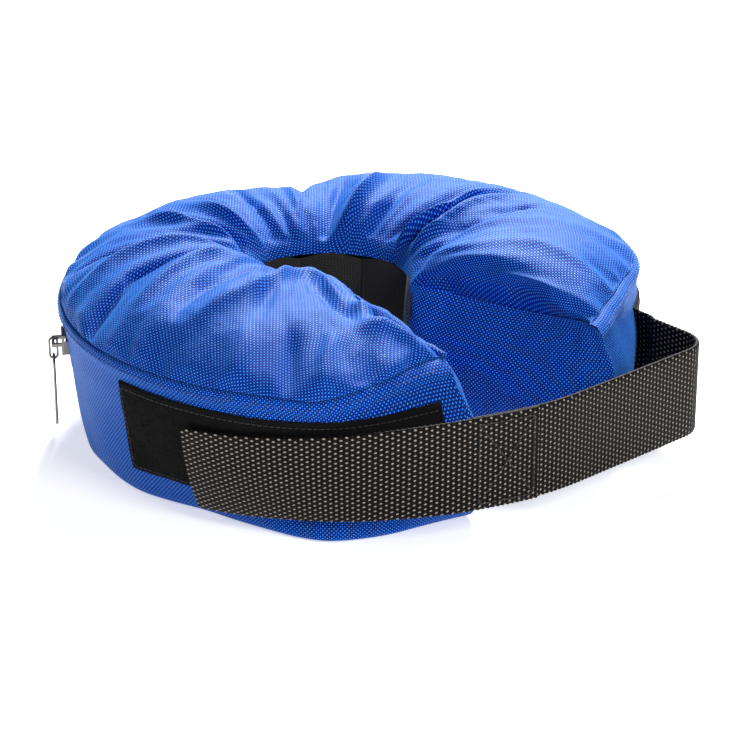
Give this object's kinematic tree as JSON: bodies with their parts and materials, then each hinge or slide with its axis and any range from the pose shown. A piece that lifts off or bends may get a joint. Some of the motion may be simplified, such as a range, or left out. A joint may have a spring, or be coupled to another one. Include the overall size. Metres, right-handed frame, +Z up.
{
  "type": "ankle cuff weight",
  "caption": "Stuffed C-shaped ankle weight in woven nylon with a zipped back seam and a hook and loop strap that closes its gap.",
  "frame": {"origin": "on the axis of the ankle opening, in the plane of the base", "axes": "+Z up along the ankle opening, the gap between the two arms faces -Y, +X is the side the strap is sewn to"},
  "size_m": [0.2514, 0.2551, 0.0821],
  "materials": {
    "nylon_blue": "coarse woven nylon, slight sheen",
    "lining_black": "gathered black lining",
    "webbing_black": "ribbed webbing",
    "loop_black": "fuzzy loop pile",
    "hook_black": "moulded hook tape",
    "zip_tape": "fine woven tape",
    "zip_coil": "nylon coil",
    "slider_metal": "dark nickel",
    "liner_canvas": "plain canvas",
    "shot_fill": "packed mineral granules"
  },
  "bodies": {
    "bag": {"top_panel": "nylon_blue", "wall_left": "nylon_blue", "wall_right": "nylon_blue", "wall_back_lower": "nylon_blue", "wall_back_upper": "nylon_blue", "inner_wall": "lining_black", "end_panel_right": "nylon_blue", "end_panel_left": "nylon_blue", "bottom_panel": "nylon_blue", "loop_patch": "loop_black", "strap_root": "webbing_black", "zip_tape_lower": "zip_tape", "zip_tape_upper": "zip_tape", "zip_coil_lower": "zip_coil", "zip_coil_upper": "zip_coil", "zip_stop_right": "slider_metal", "zip_stop_left": "slider_metal", "pouch_liner_1": "liner_canvas", "pouch_liner_2": "liner_canvas", "pouch_liner_3": "liner_canvas", "pouch_liner_4": "liner_canvas", "pouch_liner_5": "liner_canvas", "pouch_fill_1": "shot_fill", "pouch_fill_2": "shot_fill", "pouch_fill_3": "shot_fill", "pouch_fill_4": "shot_fill", "pouch_fill_5": "shot_fill"},
    "strap_rear": {"strap_rear": "webbing_black"},
    "strap_front": {"strap_front": "webbing_black", "hook_tape": "hook_black"},
    "slider": {"zip_slider": "slider_metal", "zip_bail": "slider_metal"},
    "link": {"pull_link": "slider_metal"},
    "pull": {"pull_loop": "slider_metal"}
  },
  "joints": [
    {"name": "strap_swing", "type": "hinge", "parent": "bag", "child": "strap_rear", "pos_m": [0.08295, -0.11204, 0.032], "axis": [0, 0, 1], "range_deg": [0, 110]},
    {"name": "strap_peel", "type": "hinge", "parent": "strap_rear", "child": "strap_front", "pos_m": [-0.01572, -0.14403, 0.032], "axis": [0, 0, 1], "range_deg": [0, 105]},
    {"name": "zip_slide", "type": "hinge", "parent": "bag", "child": "slider", "pos_m": [0, -0.016, 0.043], "axis": [0, 0, 1], "range_deg": [-118, 0]},
    {"name": "pull_swing", "type": "hinge", "parent": "slider", "child": "link", "pos_m": [-0.1022, 0.06385, 0.043], "axis": [0.6157, 0.788, 0], "range_deg": [-6, 150]},
    {"name": "pull_rock", "type": "hinge", "parent": "link", "child": "pull", "pos_m": [-0.1022, 0.06385, 0.0336], "axis": [-0.788, 0.6157, 0], "range_deg": [-50, 50]}
  ]
}
